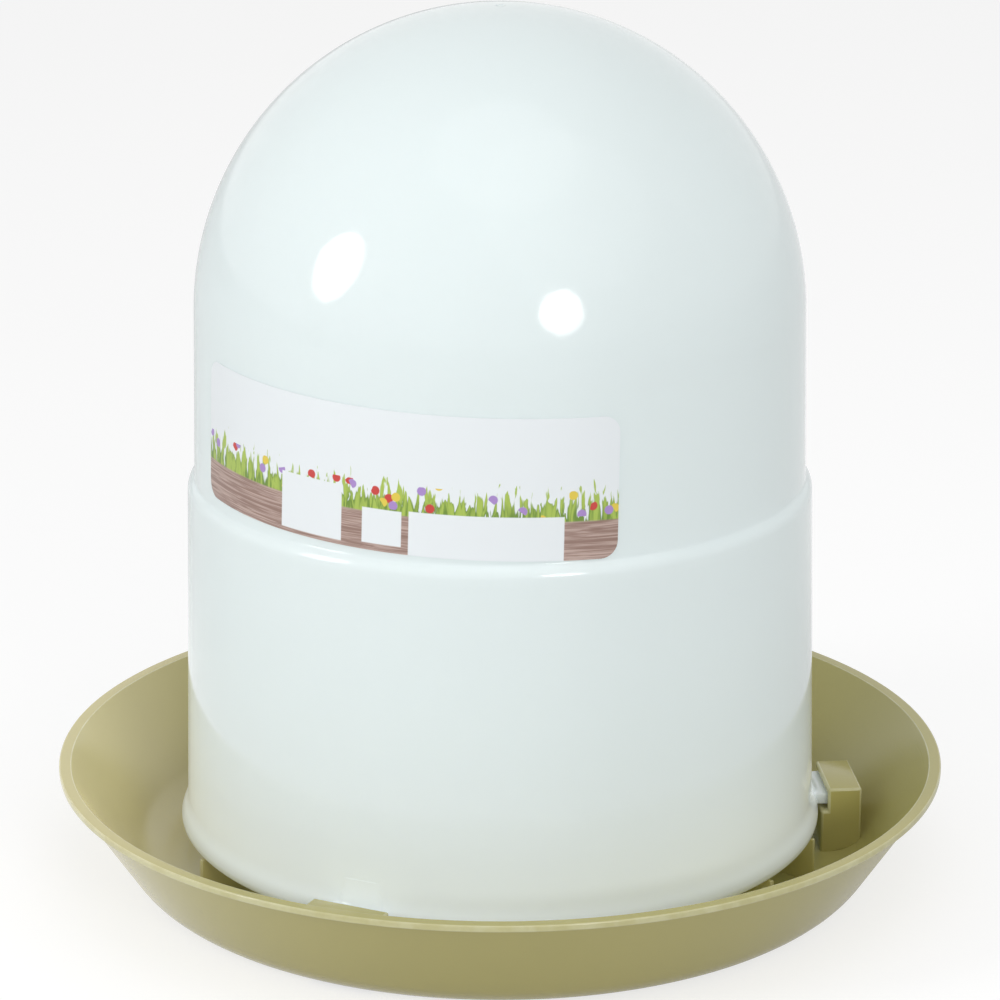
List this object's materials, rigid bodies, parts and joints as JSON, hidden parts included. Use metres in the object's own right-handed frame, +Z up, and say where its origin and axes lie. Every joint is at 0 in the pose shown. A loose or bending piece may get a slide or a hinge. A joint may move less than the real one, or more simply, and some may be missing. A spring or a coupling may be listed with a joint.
{
  "type": "gravity poultry feeder",
  "caption": "Gravity poultry feeder: a milky domed silo that locks by a short turn under hooks in a round flared feed pan.",
  "frame": {"origin": "centre of the feed pan's base, on the surface it stands on", "axes": "+Z up, along the axis the silo turns about; +X near the first hook, +Y away from the label's side"},
  "size_m": [0.22, 0.22, 0.2167],
  "materials": {
    "pan_plastic": "satin olive injection-moulded polypropylene",
    "silo_plastic": "glossy milky translucent polyethylene",
    "label_film": "satin printed film"
  },
  "bodies": {
    "pan": {"feed_pan": "pan_plastic"},
    "silo": {"silo": "silo_plastic", "label": "label_film"}
  },
  "joints": [
    {"name": "silo_turn", "type": "hinge", "parent": "pan", "child": "silo", "pos_m": [0, 0, 0.0128], "axis": [0, 0, 1], "range_deg": [0, 106]}
  ]
}
